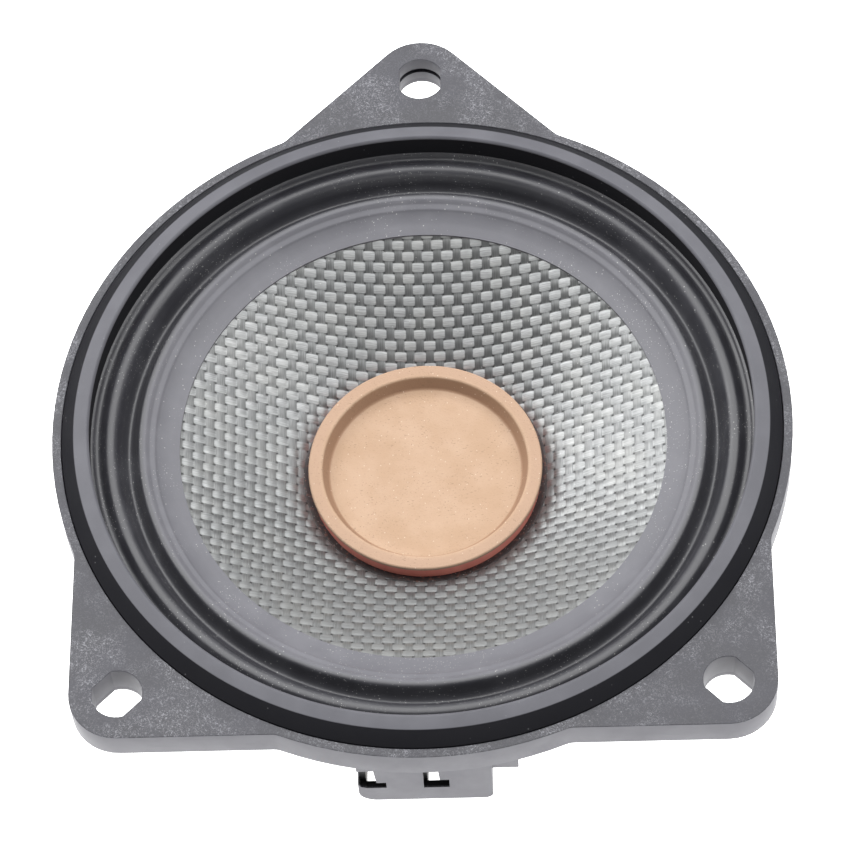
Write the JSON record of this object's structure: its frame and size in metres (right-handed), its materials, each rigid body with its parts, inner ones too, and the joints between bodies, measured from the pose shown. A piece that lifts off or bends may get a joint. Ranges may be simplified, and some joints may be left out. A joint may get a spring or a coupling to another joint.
{
  "type": "car loudspeaker",
  "caption": "Shallow round car loudspeaker with a woven cone, dished dust cap, rubber surround, plastic basket with bolt ears, plug socket and cup magnet; the cone travels on a spring.",
  "frame": {"origin": "centre of the magnet cup's flat rear face", "axes": "+Z along the speaker's axis, out of the cone's front; +Y towards the single bolt ear; the plug socket is on the -Y side"},
  "size_m": [0.102, 0.1149, 0.0382],
  "materials": {
    "flange_plastic": "moulded dark grey plastic, matt and dusty",
    "black_plastic": "satin black",
    "surround_rubber": "satin black rubber",
    "woven_cone": "silver and grey plain weave, resin coated",
    "black_glue": "glossy black bead",
    "tan_paper": "pressed tan paper with dark specks",
    "red_film": "glossy red-brown film",
    "copper_wire": "enamelled wire",
    "spider_cloth": "resin-treated yellow-brown cloth",
    "plated_steel": "zinc plated",
    "nickel_magnet": "nickel plated magnet",
    "black_steel": "black zinc",
    "terminal_brass": "tinned brass",
    "lead_braid": "braided tinsel wire"
  },
  "bodies": {
    "chassis": {"basket": "flange_plastic", "front_ring": "black_plastic", "surround": "surround_rubber", "spider": "spider_cloth", "magnet_cup": "plated_steel", "magnet_disc": "nickel_magnet", "pole_washer": "plated_steel", "cup_screw_1": "black_steel", "cup_screw_2": "black_steel", "cup_screw_3": "black_steel", "cup_screw_4": "black_steel", "connector_housing": "flange_plastic", "terminal_left": "terminal_brass", "terminal_right": "terminal_brass", "tinsel_lead_left": "lead_braid", "tinsel_lead_right": "lead_braid"},
    "diaphragm": {"cone": "woven_cone", "neck_glue_bead": "black_glue", "dust_cap": "tan_paper", "coil_former": "red_film", "voice_coil": "copper_wire"}
  },
  "joints": [
    {"name": "cone_travel", "type": "slide", "parent": "chassis", "child": "diaphragm", "axis": [0, 0, 1], "range_m": [-0.0025, 0.0025], "stiffness_N_per_m": 1200, "deforming": ["surround", "spider", "tinsel_lead_left", "tinsel_lead_right"]}
  ]
}
